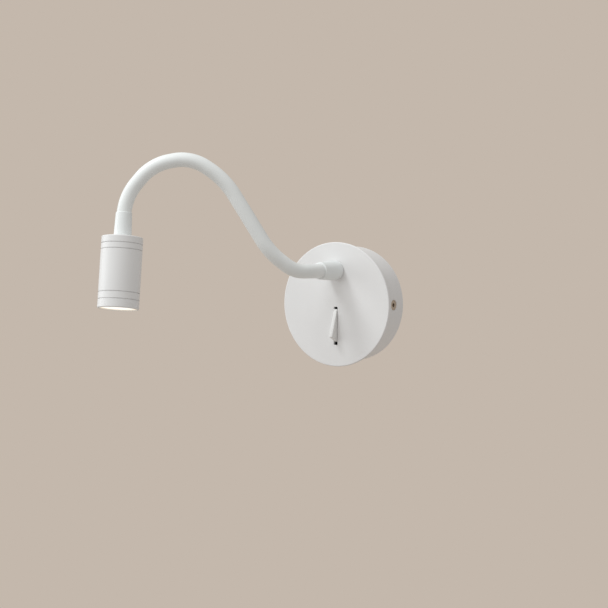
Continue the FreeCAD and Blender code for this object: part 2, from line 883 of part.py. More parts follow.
def switch_body():
    """Moulded case against the disc's back, open in front for the paddle."""
    half = switch_width / 2
    low = rocker_height - switch_height / 2
    high = rocker_height + switch_height / 2
    case = rounded_box(-half, half, inner_y, inner_y + switch_depth, low, high,
                       switch_corner)
    pocket_half = rocker_width / 2 + side_gap
    pocket = block(-pocket_half, pocket_half, inner_y - 1, inner_y + switch_cheek_cavity,
                   rocker_height - switch_slot_height / 2, rocker_height + switch_slot_height / 2)
    case = case.cut(pocket)
    wide = seesaw_width / 2 + side_gap
    tall = seesaw_length / 2 + chamber_end
    chamber = block(-wide, wide, seesaw_pivot.y - chamber_front,
                    inner_y + switch_depth - switch_floor, rocker_height - tall,
                    rocker_height + tall)
    bearing_half = rocker_width / 2 + axle_reach + axle_end_gap
    bearing = rod(axle_radius + running_clearance, rocker_pivot - across * bearing_half, across,
                  2 * bearing_half)
    case = case.cut(chamber).cut(bearing)
    for tab in terminal_blades(push_clearance):
        case = case.cut(tab)
    return case


def terminal_blades(extra):
    """Fulcrum in the middle and one fixed contact below it, grown by extra."""
    back = inner_y + switch_depth
    tabs = []
    fulcrum_y = seesaw_pivot.y + 1.5 * seesaw_rib_radius + seesaw_gap
    tilt = math.radians(seesaw_tilt)
    pad_reach = seesaw_thickness / 2 + contact_pad_height - contact_offset * seesaw_slope
    contact_y = (seesaw_pivot.y + pad_reach * math.cos(tilt) + seesaw_gap
                 + (contact_offset + contact_pad_radius) * math.sin(tilt))
    for height, front in ((0, fulcrum_y), (-contact_offset, contact_y)):
        z = rocker_height + height
        half = terminal_thickness / 2 + extra
        wide = terminal_width / 2 + extra
        tabs.append(block(-wide, wide, front, back + terminal_length, z - half, z + half))
    return tabs


def switch_terminals():
    return Part.makeCompound(terminal_blades(0))


def build():
    save("wall_bracket", wall_bracket())
    save("earth_screw", earth_screw())
    save("base_housing", base_housing())
    save("side_screws", side_screws())
    save("terminal_block", terminal_block())
    save("terminal_screws", terminal_screws())
    save("driver_pad", driver_pad_piece())
    save("driver_case", driver_case())
    save("driver_lid", driver_lid())
    save("driver_board", driver_board())
    save("switch_body", switch_body())
    save("switch_terminals", switch_terminals())
    save("rocker_paddle", rocker_paddle())
    save("switch_plunger", plunger_piece())
    save("switch_spring", switch_spring())
    save("contact_seesaw", contact_seesaw())
    save("base_ferrule", base_ferrule())
    washer_start = Vector(0, inner_y, arm_height)
    save("base_washer", lock_washer(washer_start, -out_of_wall))
    save("base_nut", nipple_nut(washer_start - out_of_wall * washer_thickness, -out_of_wall))
    last = len(arm_pivots)
    for k in range(last + 1):
        number = str(k + 1)
        finish = sleeve_top if k == last else None
        lead_finish = at_head(board_at) if k == last else None
        save("arm_sleeve_" + number,
             arm_section(k, sleeve_radius, sleeve_radius - sleeve_wall, [sleeve_foot], finish))
        save("arm_core_" + number, arm_section(k, core_radius, core_bore, [sleeve_foot], finish))
        save("arm_lead_" + number, arm_section(k, lead_radius, 0, lead_start, lead_finish))
    save("head_ferrule", head_ferrule())
    save("head_washer", lock_washer(at_head(cap_top_thickness), head_aim))
    save("head_nut", nipple_nut(at_head(cap_top_thickness + washer_thickness), head_aim))
    save("head_cap", head_cap())
    save("head_housing", head_housing())
    save("lead_grommet", lead_grommet())
    save("thermal_pad", thermal_pad())
    save("led_board", led_board())
    save("led_chip", led_chip())
    save("board_screws", board_screws())
    save("reflector", reflector())
    save("lens", lens())
    save("front_bezel", front_bezel())


os.makedirs("parts", exist_ok=True)
build()
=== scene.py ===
import json
import math
import bpy
import bmesh
from mathutils import Matrix, Vector


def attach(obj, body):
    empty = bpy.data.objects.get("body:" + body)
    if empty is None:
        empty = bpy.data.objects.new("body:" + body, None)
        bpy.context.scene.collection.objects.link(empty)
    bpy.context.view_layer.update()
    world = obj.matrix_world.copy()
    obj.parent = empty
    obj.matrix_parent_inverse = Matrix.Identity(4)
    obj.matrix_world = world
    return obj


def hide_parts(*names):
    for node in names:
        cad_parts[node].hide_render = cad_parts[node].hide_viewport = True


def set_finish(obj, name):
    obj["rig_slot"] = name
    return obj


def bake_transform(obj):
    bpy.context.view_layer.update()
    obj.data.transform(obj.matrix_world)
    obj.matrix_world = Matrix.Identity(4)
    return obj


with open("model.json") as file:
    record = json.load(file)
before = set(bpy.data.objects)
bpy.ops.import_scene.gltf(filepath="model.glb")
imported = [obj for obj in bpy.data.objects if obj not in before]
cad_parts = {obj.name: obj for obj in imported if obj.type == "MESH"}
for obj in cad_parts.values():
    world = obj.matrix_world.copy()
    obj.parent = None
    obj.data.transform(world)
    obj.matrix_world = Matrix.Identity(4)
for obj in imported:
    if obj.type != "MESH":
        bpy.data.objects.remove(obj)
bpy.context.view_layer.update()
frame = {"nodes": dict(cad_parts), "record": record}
scene = bpy.context.scene
toMetres = 0.001                  # pieces are drawn in millimetres and scaled when put in place
outOfWall = Vector((0, -1, 0))
meshSettings = {
    "same": 0.0001,               # places closer than this are the same
    "doubles": 0.0005,
    "roundSteps": 6,              # faces in a rounded corner
    "turnSteps": 192,             # faces around a turned piece
    "smoothAngle": 32,
    "normalWeight": 80,
    "past": 1.0,                  # how far a cutter reaches past what it cuts
}
print("frame loaded:", len(frame["nodes"]), "nodes")

cameraSettings = {
    "place": (0.8615, -1.3822, 0.0715),
    "turn": 33.37,                # degrees away from the wall's normal
    "lookDown": 2.54,
    "pixelsAcross": 608,
    "focalPixels": 2000,
    "sensor": 36.0,
}


def addCamera(s):
    turn = (math.radians(90 - s["lookDown"]), 0, math.radians(s["turn"]))
    bpy.ops.object.camera_add(location=s["place"], rotation=turn)
    camera = bpy.context.object
    camera.name = "viewCamera"
    camera.data.sensor_width = s["sensor"]
    camera.data.lens = s["sensor"] * s["focalPixels"] / s["pixelsAcross"]
    camera.data.dof.use_dof = False
    scene.camera = camera


def clearSelection():
    if bpy.context.object and bpy.context.object.mode != "OBJECT":
        bpy.ops.object.mode_set(mode="OBJECT")
    bpy.ops.object.select_all(action="DESELECT")


def pick(piece):
    clearSelection()
    piece.select_set(True)
    bpy.context.view_layer.objects.active = piece


def editMode(piece):
    pick(piece)
    bpy.ops.object.mode_set(mode="EDIT")


def objectMode():
    bpy.ops.object.mode_set(mode="OBJECT")


def choose(piece, kind, test):    # in edit mode: selects the verts, edges or faces that pass
    bpy.ops.mesh.select_mode(type={"verts": "VERT", "edges": "EDGE", "faces": "FACE"}[kind])
    bpy.ops.mesh.select_all(action="DESELECT")
    mesh = bmesh.from_edit_mesh(piece.data)
    for part in getattr(mesh, kind):
        if test(part):
            part.select_set(True)
    bmesh.update_edit_mesh(piece.data)


def useModifier(piece, kind, **values):
    modifier = piece.modifiers.new(kind.lower(), kind)
    for name, value in values.items():
        setattr(modifier, name, value)
    pick(piece)
    bpy.ops.object.modifier_apply(modifier=modifier.name)


def combine(piece, tool, operation="DIFFERENCE"):
    useModifier(piece, "BOOLEAN", operation=operation, solver="EXACT", object=tool)
    bpy.data.objects.remove(tool)


def tidyMesh(piece):              # joins doubles and turns every face outwards
    editMode(piece)
    bpy.ops.mesh.select_all(action="SELECT")
    bpy.ops.mesh.remove_doubles(threshold=meshSettings["doubles"])
    bpy.ops.mesh.normals_make_consistent(inside=False)
    objectMode()


def smoothByAngle(piece):
    pick(piece)
    bpy.ops.object.shade_smooth_by_angle(angle=math.radians(meshSettings["smoothAngle"]))


def smoothHard(piece):            # the same, and flat faces stay flat up to their rounded edges
    smoothByAngle(piece)
    useModifier(piece, "WEIGHTED_NORMAL", keep_sharp=True, weight=meshSettings["normalWeight"])


def put(piece, start, aim=None, scale=1.0):    # local Z goes to aim, local Y as near up as it can
    piece.location = start
    if aim is not None:
        piece.rotation_euler = Vector(aim).to_track_quat("Z", "Y").to_euler()
    piece.scale = (scale, scale, scale)
    pick(piece)
    bpy.ops.object.transform_apply(location=True, rotation=True, scale=True)


def tilt(piece, degrees, centre):              # about the X axis through centre
    turn = Matrix.Rotation(math.radians(degrees), 4, "X")
    piece.matrix_world = Matrix.Translation(centre) @ turn @ Matrix.Translation(-Vector(centre))
    pick(piece)
    bpy.ops.object.transform_apply(location=True, rotation=True, scale=True)


# corners are (u, v) or (u, v, rounding); the outline stands in XZ, or lies in XY if it is flat
def traceCorners(name, corners, closed=True, flat=False):
    same = meshSettings["same"]
    clearSelection()
    bpy.ops.mesh.primitive_plane_add(size=1, location=(0, 0, 0))
    piece = bpy.context.object
    piece.name = name
    piece.data.name = name
    bpy.ops.object.mode_set(mode="EDIT")
    bpy.ops.mesh.select_mode(type="VERT")
    bpy.ops.mesh.select_all(action="SELECT")
    bpy.ops.mesh.merge(type="CENTER")
    spots = [Vector((c[0], c[1], 0) if flat else (c[0], 0, c[1])) for c in corners]
    bpy.ops.transform.translate(value=spots[0])
    for before, spot in zip(spots, spots[1:]):
        bpy.ops.mesh.extrude_vertices_move(TRANSFORM_OT_translate={"value": tuple(spot - before)})
    if closed:
        ends = (spots[0], spots[-1])
        choose(piece, "verts", lambda v: min((v.co - end).length for end in ends) < same)
        bpy.ops.mesh.edge_face_add()
    for i, corner in enumerate(corners):
        if len(corner) < 3:
            continue
        spot = spots[i]
        back = (spots[i - 1] - spot).normalized()
        ahead = (spots[(i + 1) % len(spots)] - spot).normalized()
        reach = corner[2] / math.tan(back.angle(ahead) / 2)
        choose(piece, "verts", lambda v: (v.co - spot).length < same)
        bpy.ops.mesh.bevel(offset=reach, offset_type="OFFSET", profile=0.5, affect="VERTICES",
                           segments=meshSettings["roundSteps"], clamp_overlap=False)
    objectMode()
    return piece


# corners are (radius, distance along Z)
def turnedPiece(name, corners, closed=True, steps=meshSettings["turnSteps"]):
    piece = traceCorners(name, corners, closed)
    editMode(piece)
    bpy.ops.mesh.select_all(action="SELECT")
    bpy.ops.mesh.spin(steps=steps, angle=2 * math.pi, center=(0, 0, 0), axis=(0, 0, 1))
    objectMode()
    tidyMesh(piece)
    return piece


def prism(name, corners, low, high):           # an outline in XY raised from low to high
    piece = traceCorners(name, corners, flat=True)
    editMode(piece)
    bpy.ops.mesh.select_all(action="SELECT")
    bpy.ops.mesh.edge_face_add()
    bpy.ops.transform.translate(value=(0, 0, low))
    bpy.ops.mesh.extrude_region_move(TRANSFORM_OT_translate={"value": (0, 0, high - low)})
    objectMode()
    tidyMesh(piece)
    return piece


def copyOf(piece, name):
    twin = piece.copy()
    twin.data = piece.data.copy()
    twin.name = name
    twin.data.name = name
    scene.collection.objects.link(twin)
    return twin


addCamera(cameraSettings)
print("camera placed")

# base: a round disc with a shallower drum behind it
baseSettings = {
    "discRadius": 50.0,
    "discLip": 2.4,
    "drumRadius": 46.2,
    "drumWall": 2.4,
    "depth": 28.0,
    "face": 2.0,                  # thickness of the front
    "edge": 0.8,
    "armHeight": 27.4,
    "armHole": 5.05,
    "slotHeight": 30.7,
    "slotWidth": 3.5,
    "slotCorner": 0.6,
    "slotLip": 0.2,
    "slotLipSteps": 4,
    "slotAt": -17.3,
    "holeSteps": 64,
    "screwDepth": 14.0,           # from the wall
    "screwRecess": 0.3,
}
screwSettings = {
    "head": 4.1,
    "shank": 1.95,
    "length": 10.0,
    "edge": 0.25,
    "ring": 0.7,                  # from the rim to a shallow step
    "step": 0.25,
    "flats": 3.0,
    "socket": 2.2,
    "gap": 0.3,
    "cutBefore": 3.0,             # how far its hole's cutter reaches, from the drum's flank
    "cutBehind": 6.0,
    "steps": 96,
}


def flaredSlot(s):                # cutter for the rocker's slot, with a rounded lip
    halfWide = s["slotWidth"] / 2
    halfTall = s["slotHeight"] / 2
    corners = [(x * halfWide, s["slotAt"] + y * halfTall, s["slotCorner"])
               for x, y in ((-1, -1), (1, -1), (1, 1), (-1, 1))]
    lip = s["slotLip"]
    past = meshSettings["past"]
    cutter = prism("slotCutter", corners, s["depth"] - s["face"] - past, s["depth"] - lip)
    editMode(cutter)
    top = max(v.co.z for v in cutter.data.vertices)
    choose(cutter, "faces", lambda f: min(v.co.z for v in f.verts) > top - meshSettings["same"])
    grown = 0
    raised = 0
    for i in range(s["slotLipSteps"]):
        turn = math.pi / 2 * (i + 1) / s["slotLipSteps"]
        out = lip * (1 - math.cos(turn))
        rise = lip * math.sin(turn)
        bpy.ops.mesh.extrude_region_move(TRANSFORM_OT_translate={"value": (0, 0, rise - raised)})
        bpy.ops.transform.resize(value=((halfWide + out) / (halfWide + grown),
                                        (halfTall + out) / (halfTall + grown), 1),
                                 center_override=(0, s["slotAt"], 0))
        grown = out
        raised = rise
    bpy.ops.mesh.extrude_region_move(TRANSFORM_OT_translate={"value": (0, 0, past)})
    objectMode()
    tidyMesh(cutter)
    return cutter


def makeBase(s, screw):
    inner = s["drumRadius"] - s["drumWall"]
    front = s["depth"]
    shell = turnedPiece("baseShell", [
        (0, front), (s["discRadius"], front, s["edge"]),
        (s["discRadius"], front - s["discLip"], s["edge"]),
        (s["drumRadius"], front - s["discLip"], s["edge"] / 2), (s["drumRadius"], 0), (inner, 0),
        (inner, front - s["face"], s["edge"]), (0, front - s["face"])], closed=False)
    combine(shell, flaredSlot(s))
    hole = turnedPiece("armHole", [(0, 0), (s["armHole"], 0), (s["armHole"], front), (0, front)],
                       closed=False, steps=s["holeSteps"])
    put(hole, (0, s["armHeight"], front / 2))
    combine(shell, hole)
    wide = screw["head"] + screw["gap"]
    narrow = screw["shank"] + screw["edge"]
    for side in (-1, 1):
        sunk = turnedPiece("countersink", [
            (0, -screw["cutBefore"]), (wide, -screw["cutBefore"]), (wide, s["screwRecess"]),
            (narrow, s["screwRecess"] + wide - narrow), (narrow, screw["cutBehind"]),
            (0, screw["cutBehind"])], closed=False, steps=screw["steps"])
        put(sunk, (side * s["drumRadius"], 0, s["screwDepth"]), (-side, 0, 0))
        combine(shell, sunk)
    smoothHard(shell)
    put(shell, (0, 0, 0), outOfWall, toMetres)
    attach(shell, "base")
    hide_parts("base_housing")
    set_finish(shell, "base_white")
    return shell


def makeScrews(s, base):
    screw = turnedPiece("sideScrewRight", [
        (0, s["step"]), (s["head"] - s["ring"] - s["step"], s["step"]), (s["head"] - s["ring"], 0),
        (s["head"], 0, s["edge"]), (s["head"], 2 * s["edge"]),
        (s["shank"], s["head"] - s["shank"] + 2 * s["edge"]),
        (s["shank"], s["length"], s["edge"]), (0, s["length"])], closed=False, steps=s["steps"])
    reach = s["flats"] / math.sqrt(3)
    turns = [math.radians(60 * i) for i in range(6)]
    points = [(reach * math.cos(turn), reach * math.sin(turn)) for turn in turns]
    combine(screw, prism("hexCutter", points, -meshSettings["past"], s["socket"]))
    smoothHard(screw)
    other = copyOf(screw, "sideScrewLeft")
    for piece, side in ((screw, 1), (other, -1)):
        start = Vector((side * (base["drumRadius"] - base["screwRecess"]), -base["screwDepth"], 0))
        put(piece, start * toMetres, (-side, 0, 0), toMetres)
        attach(piece, "base")
        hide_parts("side_screws")
        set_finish(piece, "screw_steel")
    return [screw, other]


baseShell = makeBase(baseSettings, screwSettings)
sideScrews = makeScrews(screwSettings, baseSettings)
print("base and side screws done")

rockerSettings = {
    "pivotDepth": 3.4,            # behind the disc's front
    "tilt": 18.7,
    "width": 2.9,
    "stand": 4.3,
    "frontHalf": 11.65,
    "rootHalf": 13.05,
    "rootDepth": 2.0,
    "edge": 0.4,
    "sideEdge": 0.18,
    "sideEdgeSteps": 4,
    "bossEdge": 1.0,
    "bossRoot": 4.0,
    "bossEnd": 2.2,
    "bossDepth": 4.4,
    "axleRadius": 1.0,
    "axleReach": 1.7,
    "axleEdge": 0.15,
    "pocketRadius": 1.07,
    "pocketDepth": 1.6,           # before the pivot
    "steps": 48,
}


def makeRocker(s, base):
    face = s["pivotDepth"] + s["stand"]
    root = -s["rootDepth"]
    corners = [(face, s["frontHalf"], s["edge"]), (face, -s["frontHalf"], s["edge"]),
               (root, -s["rootHalf"], s["edge"]), (root, -s["bossRoot"], s["bossEdge"]),
               (-s["bossDepth"], -s["bossEnd"], s["edge"]),
               (-s["bossDepth"], s["bossEnd"], s["edge"]),
               (root, s["bossRoot"], s["bossEdge"]), (root, s["rootHalf"], s["edge"])]
    half = s["width"] / 2
    paddle = prism("rockerPaddle", corners, -half, half)
    editMode(paddle)

    def roundSideFace(edge):      # but not at the root, which stays in the base
        first, last = [v.co for v in edge.verts]
        level = abs(first.z - last.z) < meshSettings["same"]
        return level and min(first.x, last.x) > root + s["edge"] / 4

    choose(paddle, "edges", roundSideFace)
    bpy.ops.mesh.bevel(offset=s["sideEdge"], segments=s["sideEdgeSteps"], profile=0.5,
                       affect="EDGES")
    objectMode()
    length = 2 * (half + s["axleReach"])
    axle = turnedPiece("axle", [
        (0, 0), (s["axleRadius"], 0, s["axleEdge"]), (s["axleRadius"], length, s["axleEdge"]),
        (0, length)], closed=False, steps=s["steps"])
    put(axle, (0, 0, -length / 2))
    combine(paddle, axle, "UNION")
    past = meshSettings["past"]
    depth = s["bossDepth"] + s["pocketDepth"] + past
    pocket = turnedPiece("pocket", [
        (0, 0), (s["pocketRadius"], 0), (s["pocketRadius"], depth), (0, depth)],
        closed=False, steps=s["steps"])
    put(pocket, (-s["bossDepth"] - past, 0, 0), (1, 0, 0))
    combine(paddle, pocket)
    smoothHard(paddle)
    pick(paddle)                  # drawn as (outwards, upwards, across)
    paddle.matrix_world = Matrix(((0, 0, 1, 0), (-1, 0, 0, 0), (0, 1, 0, 0), (0, 0, 0, 1)))
    bpy.ops.object.transform_apply(location=True, rotation=True, scale=True)
    tilt(paddle, -s["tilt"], (0, 0, 0))
    pivot = Vector((0, -base["depth"] + s["pivotDepth"], base["slotAt"]))
    put(paddle, pivot * toMetres, scale=toMetres)
    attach(paddle, "rocker")
    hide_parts("rocker_paddle")
    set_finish(paddle, "rocker_white")
    return paddle


rockerPaddle = makeRocker(rockerSettings, baseSettings)
print("rocker done")

# arm: its corners, as steps from where it leaves the disc
armSettings = {
    "route": [(0, 0, 0), (0, -32, 0), (-6, -51, 0.2), (-18.7, -67, 15.6), (-33, -76.5, 43.6),
              (-47, -86.5, 71.6), (-68.2, -101.5, 89.2), (-93.2, -119, 83.5),
              (-111.9, -129.5, 58.1), (-110.7, -134.3, 27.1)],
    "radius": 5.7,
    "wall": 1.3,
    "bendShare": 0.45,
    "steps": 24,                  # rings in each straight and each bend
    "roundness": 30,
    "blendHalf": 15.0,            # at most this far either side of a joint
}
ferruleSettings = {
    "insert": 13.0,
    "gap": 0.05,
    "edge": 0.4,
    "nippleRadius": 5.0,
    "nippleBore": 3.2,
    "nippleReach": 9.0,
    "baseLength": 24.0,
    "baseFoot": 7.9,
    "baseFootEdge": 1.4,
    "baseTip": 6.8,
    "baseTipEdge": 0.95,
    "baseStraight": 8.0,
    "headLength": 19.3,
    "headFoot": 7.0,
    "headTip": 6.35,
    "capTop": 3.0,
}
armExit = Vector((0, -baseSettings["depth"], baseSettings["armHeight"]))
route = [armExit + Vector(step) for step in armSettings["route"]]
headTop = route[-1]
headAim = (route[-1] - route[-2]).normalized()


# bezier points (place, handle before, handle after); the odd stretches are the bends
def sleevePath(s, ferrule):
    foot = route[0] + outOfWall * (ferrule["baseLength"] - ferrule["insert"])
    top = headTop - headAim * (ferrule["headLength"] - ferrule["insert"])
    points = [(foot, outOfWall)]
    for before, corner, after in zip(route, route[1:], route[2:]):
        first = (corner - before).normalized()
        last = (after - corner).normalized()
        reach = s["bendShare"] * min((corner - before).length, (after - corner).length)
        turn = first.angle(last)
        points.append((corner - first * reach, first, turn, reach))
        points.append((corner + last * reach, last, turn, reach))
    points.append((top, headAim))
    path = []
    for i, point in enumerate(points):
        spot, aim = point[:2]
        handles = []
        for other in (points[max(i - 1, 0)], points[min(i + 1, len(points) - 1)]):
            if point[2:] and point[2:] == other[2:]:     # the two ends of one bend
                turn, reach = point[2:]
                handles.append(4 / 3 * math.tan(turn / 4) * reach / math.tan(turn / 2))
            else:
                handles.append((other[0] - spot).length / 3)
        path.append((spot, spot - aim * handles[0], spot + aim * handles[1]))
    return path


def makeTube(s, path):
    clearSelection()
    bpy.ops.curve.primitive_bezier_curve_add(location=(0, 0, 0))
    tube = bpy.context.object
    spline = tube.data.splines[0]
    spline.bezier_points.add(len(path) - 2)
    for point, (spot, before, after) in zip(spline.bezier_points, path):
        point.handle_left_type = "FREE"
        point.handle_right_type = "FREE"
        point.co = spot
        point.handle_left = before
        point.handle_right = after
    tube.data.dimensions = "3D"
    tube.data.resolution_u = s["steps"]
    tube.data.bevel_depth = s["radius"]
    tube.data.bevel_resolution = s["roundness"]
    tube.data.use_fill_caps = False
    bpy.ops.object.convert(target="MESH")
    return bpy.context.object


def makeSleeves(s, ferrule):
    path = sleevePath(s, ferrule)
    tube = makeTube(s, path)
    spots = tube.data.vertices
    rings = (len(path) - 1) * s["steps"] + 1
    sides = len(spots) // rings
    bends = [(2 * i + 1) * s["steps"] + s["steps"] // 2 for i in range(len(route) - 2)]
    cuts = [0] + bends[1:-1] + [rings - 1]     # the rings in the middle of the bends
    pivots = [(a + b) / 2 for a, b in zip(route[1:], route[2:-1])]
    bodies = ["base"] + ["arm_%d" % k for k in range(1, len(pivots))] + ["head"]
    pieces = []
    for k, pivot in enumerate(pivots):
        sleeve = copyOf(tube, "armSleeve%d" % (k + 1))
        low, high = cuts[k] * sides, (cuts[k + 1] + 1) * sides
        editMode(sleeve)
        choose(sleeve, "verts", lambda v: not low <= v.index < high)
        bpy.ops.mesh.delete(type="VERT")
        objectMode()
        tidyMesh(sleeve)
        useModifier(sleeve, "SOLIDIFY", thickness=s["wall"], offset=-1, use_even_offset=True)
        smoothByAngle(sleeve)
        put(sleeve, (0, 0, 0), scale=toMetres)
        aim = (route[k + 2] - route[k + 1]).normalized()
        ends = list(spots[low:low + sides]) + list(spots[high - sides:high])
        # the reach either side of the pivot stops before both end rings
        aim *= min([s["blendHalf"]] + [abs((v.co - pivot).dot(aim)) for v in ends])
        bodies[k + 1]
        (pivot - aim) * toMetres
        (pivot + aim) * toMetres
        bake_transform(sleeve)
        nodes = ["arm_sleeve_%d" % (k + 1)]
        if bodies[k + 1] == "head":
            nodes.append("arm_sleeve_8")
        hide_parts(*nodes)
        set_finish(sleeve, "sleeve_white")
        pieces.append(sleeve)
    bpy.data.objects.remove(tube)
    return pieces


def makeFerrules(s, arm, base):
    mouth = arm["radius"] + s["gap"]
    length = s["baseLength"]
    back = -base["face"] - s["nippleReach"]
    foot = turnedPiece("baseFerrule", [
        (s["nippleBore"], back), (s["nippleRadius"], back, s["edge"]), (s["nippleRadius"], 0),
        (s["baseFoot"], 0, s["baseFootEdge"]), (s["baseFoot"], s["baseStraight"]),
        (s["baseTip"], length, s["baseTipEdge"]), (mouth, length), (mouth, length - s["insert"]),
        (s["nippleBore"], length - s["insert"])])
    put(foot, armExit * toMetres, outOfWall, toMetres)
    length = s["headLength"]
    inside = s["capTop"] + s["nippleReach"]
    tip = turnedPiece("headFerrule", [
        (s["nippleBore"], inside), (s["nippleBore"], s["insert"] - length),
        (mouth, s["insert"] - length), (mouth, -length), (s["headTip"], -length, s["edge"]),
        (s["headFoot"], 0), (s["nippleRadius"], 0), (s["nippleRadius"], inside, s["edge"])])
    put(tip, headTop * toMetres, headAim, toMetres)
    for piece, body, node in ((foot, "base", "base_ferrule"), (tip, "head", "head_ferrule")):
        smoothHard(piece)
        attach(piece, body)
        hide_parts(node)
        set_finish(piece, "head_white")
    return [foot, tip]


armSleeves = makeSleeves(armSettings, ferruleSettings)
ferrules = makeFerrules(ferruleSettings, armSettings, baseSettings)
print("arm done:", len(armSleeves), "sleeve pieces")

headSettings = {
    "radius": 16.2,
    "wall": 2.0,
    "length": 56.2,
    "capLength": 10.3,
    "capTop": ferruleSettings["capTop"],
    "capHole": 5.05,
    "bezelLength": 12.5,
    "spigot": 5.0,
    "grooveWidth": 0.7,
    "grooveDepth": 0.6,
    "grooveEdge": 0.1,
    "capGroove": 5.6,
    "bezelGroove": 6.9,           # from the front
    "edge": 0.8,
    "webAt": 33.0,
    "web": 3.0,
    "grommetHole": 3.0,
    "fit": 0.05,
}
lensSettings = {
    "radius": 14.7,
    "flange": 0.45,
    "flangeThickness": 1.0,
    "thickness": 3.0,
    "recess": 0.6,
    "edge": 0.5,
    "dome": 0.35,
    "domeSteps": 5,
    "lipEdge": 0.3,
}


def groove(s, middle):            # profile corners of a turned groove, towards the front
    half = s["grooveWidth"] / 2
    low = s["radius"] - s["grooveDepth"]
    return [(s["radius"], middle - half, s["grooveEdge"]), (low, middle - half),
            (low, middle + half), (s["radius"], middle + half, s["grooveEdge"])]


def makeHead(s, lens):
    radius = s["radius"]
    low = radius - s["grooveDepth"]
    seam = s["grooveWidth"] / 2
    bore = radius - s["wall"]
    spigot = bore - s["fit"]
    bezelStart = s["length"] - s["bezelLength"]
    cap = turnedPiece("headCap", [
        (s["capHole"], 0), (radius, 0, s["edge"])] + groove(s, s["capGroove"]) + [
        (radius, s["capLength"] - seam, s["grooveEdge"]), (low, s["capLength"] - seam),
        (low, s["capLength"]), (spigot, s["capLength"]), (spigot, s["capLength"] + s["spigot"]),
        (spigot - s["wall"] / 2, s["capLength"] + s["spigot"]),
        (spigot - s["wall"] / 2, s["capTop"]), (s["capHole"], s["capTop"])])
    outer = radius - s["wall"] / 2
    webEnd = s["webAt"] + s["web"]
    housing = turnedPiece("headHousing", [
        (bore, s["capLength"]), (low, s["capLength"]), (low, s["capLength"] + seam),
        (radius, s["capLength"] + seam, s["grooveEdge"]),
        (radius, bezelStart - seam, s["grooveEdge"]), (low, bezelStart - seam),
        (low, bezelStart), (outer, bezelStart), (outer, bezelStart + s["spigot"]),
        (bore, bezelStart + s["spigot"]), (bore, webEnd), (s["grommetHole"], webEnd),
        (s["grommetHole"], s["webAt"]), (bore, s["webAt"])])
    lip = lens["radius"] + s["fit"]
    lensBack = s["length"] - lens["recess"] - lens["thickness"]
    lipAt = lensBack + lens["flangeThickness"] + s["fit"]
    thread = outer + s["fit"]
    bezel = turnedPiece("frontBezel", [
        (thread, bezelStart), (low, bezelStart), (low, bezelStart + seam),
        (radius, bezelStart + seam, s["grooveEdge"])
    ] + groove(s, s["length"] - s["bezelGroove"]) + [
        (radius, s["length"], s["edge"]), (lip, s["length"], lens["lipEdge"]), (lip, lipAt),
        (thread, lipAt)])
    for piece, node in ((cap, "head_cap"), (housing, "head_housing"), (bezel, "front_bezel")):
        smoothHard(piece)
        put(piece, headTop * toMetres, headAim, toMetres)
        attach(piece, "head")
        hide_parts(node)
        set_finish(piece, "head_white")
    return [cap, housing, bezel]


def makeLens(s, head):
    face = head["length"] - s["recess"]
    back = face - s["thickness"]
    flange = s["radius"] + s["flange"]
    shares = [i / s["domeSteps"] for i in reversed(range(s["domeSteps"]))]
    dome = [(s["radius"] * share, face - s["dome"] * share ** 2) for share in shares]
    lens = turnedPiece("frontLens", [
        (0, back), (flange, back), (flange, back + s["flangeThickness"]),
        (s["radius"], back + s["flangeThickness"]), (s["radius"], face - s["dome"], s["edge"])
    ] + dome, closed=False)
    smoothHard(lens)
    put(lens, headTop * toMetres, headAim, toMetres)
    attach(lens, "head")
    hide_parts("lens")
    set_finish(lens, "lens_glow")
    return lens


headPieces = makeHead(headSettings, lensSettings)
frontLens = makeLens(lensSettings, headSettings)
print("head done")


class Wire:                       # a node's output; arithmetic on it adds Math nodes
    def __init__(self, nodes, socket):
        self.nodes = nodes
        self.socket = socket

    def math(self, operation, first, second):
        return self.nodes.add("ShaderNodeMath", {"operation": operation}, {0: first, 1: second})

    def __add__(self, other):
        return self.math("ADD", self, other)

    def __sub__(self, other):
        return self.math("SUBTRACT", self, other)

    def __mul__(self, other):
        return self.math("MULTIPLY", self, other)

    def __radd__(self, other):
        return self.math("ADD", other, self)

    def __rsub__(self, other):
        return self.math("SUBTRACT", other, self)

    def __rmul__(self, other):
        return self.math("MULTIPLY", other, self)


class Nodes:                      # a node tree, filled from here
    def __init__(self, tree):
        self.tree = tree

    def put(self, target, value):
        if isinstance(value, Wire):
            self.tree.links.new(value.socket, target)
        else:
            target.default_value = value

    def add(self, kind, settings=None, sockets=None, output=0):
        node = self.tree.nodes.new(kind)
        for name, value in (settings or {}).items():
            setattr(node, name, value)
        for name, value in (sockets or {}).items():
            self.put(node.inputs[name], value)
        return Wire(self, node.outputs[output])

    def surface(self, outputName, shader):
        self.put(self.tree.nodes[outputName].inputs["Surface"], shader)


